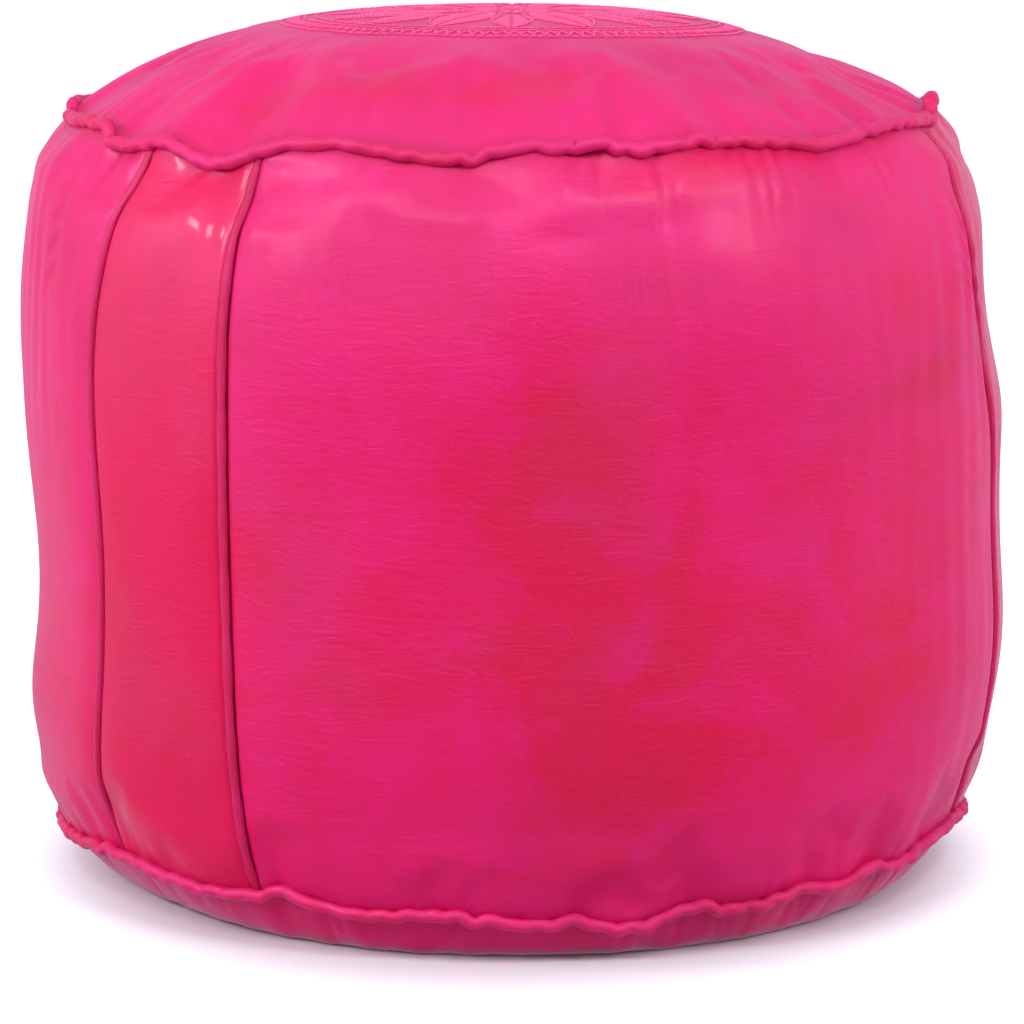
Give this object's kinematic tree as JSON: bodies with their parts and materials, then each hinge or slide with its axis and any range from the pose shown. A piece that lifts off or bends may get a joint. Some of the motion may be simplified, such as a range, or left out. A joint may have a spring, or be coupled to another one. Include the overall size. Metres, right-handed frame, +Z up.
{
  "type": "round leather pouf",
  "caption": "Round stuffed floor pouf with a panelled leather cover, piped seams, embroidered crown and a zipped base.",
  "frame": {"origin": "centre of the foot, on the floor", "axes": "+Z up through the crown, -Y towards the front panel, +X to the right seen from the front; the zip runs along X"},
  "size_m": [0.5, 0.5, 0.4372],
  "materials": {
    "crown_leather": "dyed goatskin, soft satin",
    "panel_leather": "dyed goatskin, mottled, satin to glossy",
    "strip_leather": "dyed goatskin, smoother and redder, glossy",
    "piping_leather": "dyed goatskin folded thin, satin",
    "embroidery_silk": "twisted silk thread, sheen",
    "insert_cotton": "plain weave calico, matt",
    "cotton_cord": "twisted cotton, matt",
    "stuffing_cotton": "loose cotton and textile waste, matt",
    "zip_tape": "woven herringbone tape, matt",
    "zip_brass": "stamped brass, lightly worn"
  },
  "bodies": {
    "cover": {"top_panel": "crown_leather", "embroidery_rosette": "embroidery_silk", "embroidery_band": "embroidery_silk", "top_piping_cover": "piping_leather", "top_piping_cord": "cotton_cord", "side_panel_1": "panel_leather", "side_strip_1": "strip_leather", "side_panel_2": "panel_leather", "side_strip_2": "strip_leather", "side_panel_3": "panel_leather", "side_strip_3": "strip_leather", "seam_welt_1": "piping_leather", "seam_welt_2": "piping_leather", "seam_welt_3": "piping_leather", "seam_welt_4": "piping_leather", "seam_welt_5": "piping_leather", "seam_welt_6": "piping_leather", "bottom_piping_cover": "piping_leather", "bottom_piping_cord": "cotton_cord", "base_half_front": "panel_leather", "base_half_rear": "panel_leather", "zip_tape_front": "zip_tape", "zip_tape_rear": "zip_tape", "zip_teeth_front": "zip_brass", "zip_teeth_rear": "zip_brass", "zip_top_stop_front": "zip_brass", "zip_top_stop_rear": "zip_brass", "zip_bottom_stop": "zip_brass", "insert_top": "insert_cotton", "insert_band": "insert_cotton", "insert_base": "insert_cotton", "stuffing": "stuffing_cotton"},
    "slider": {"zip_slider": "zip_brass"},
    "pull_tab": {"zip_pull_tab": "zip_brass"}
  },
  "joints": [
    {"name": "zip_slide", "type": "slide", "parent": "cover", "child": "slider", "axis": [1, 0, 0], "range_m": [0, 0.236]},
    {"name": "pull_tab_swing", "type": "hinge", "parent": "slider", "child": "pull_tab", "pos_m": [-0.118, 0, 0.0073], "axis": [0, 1, 0], "range_deg": [0, 170]}
  ]
}
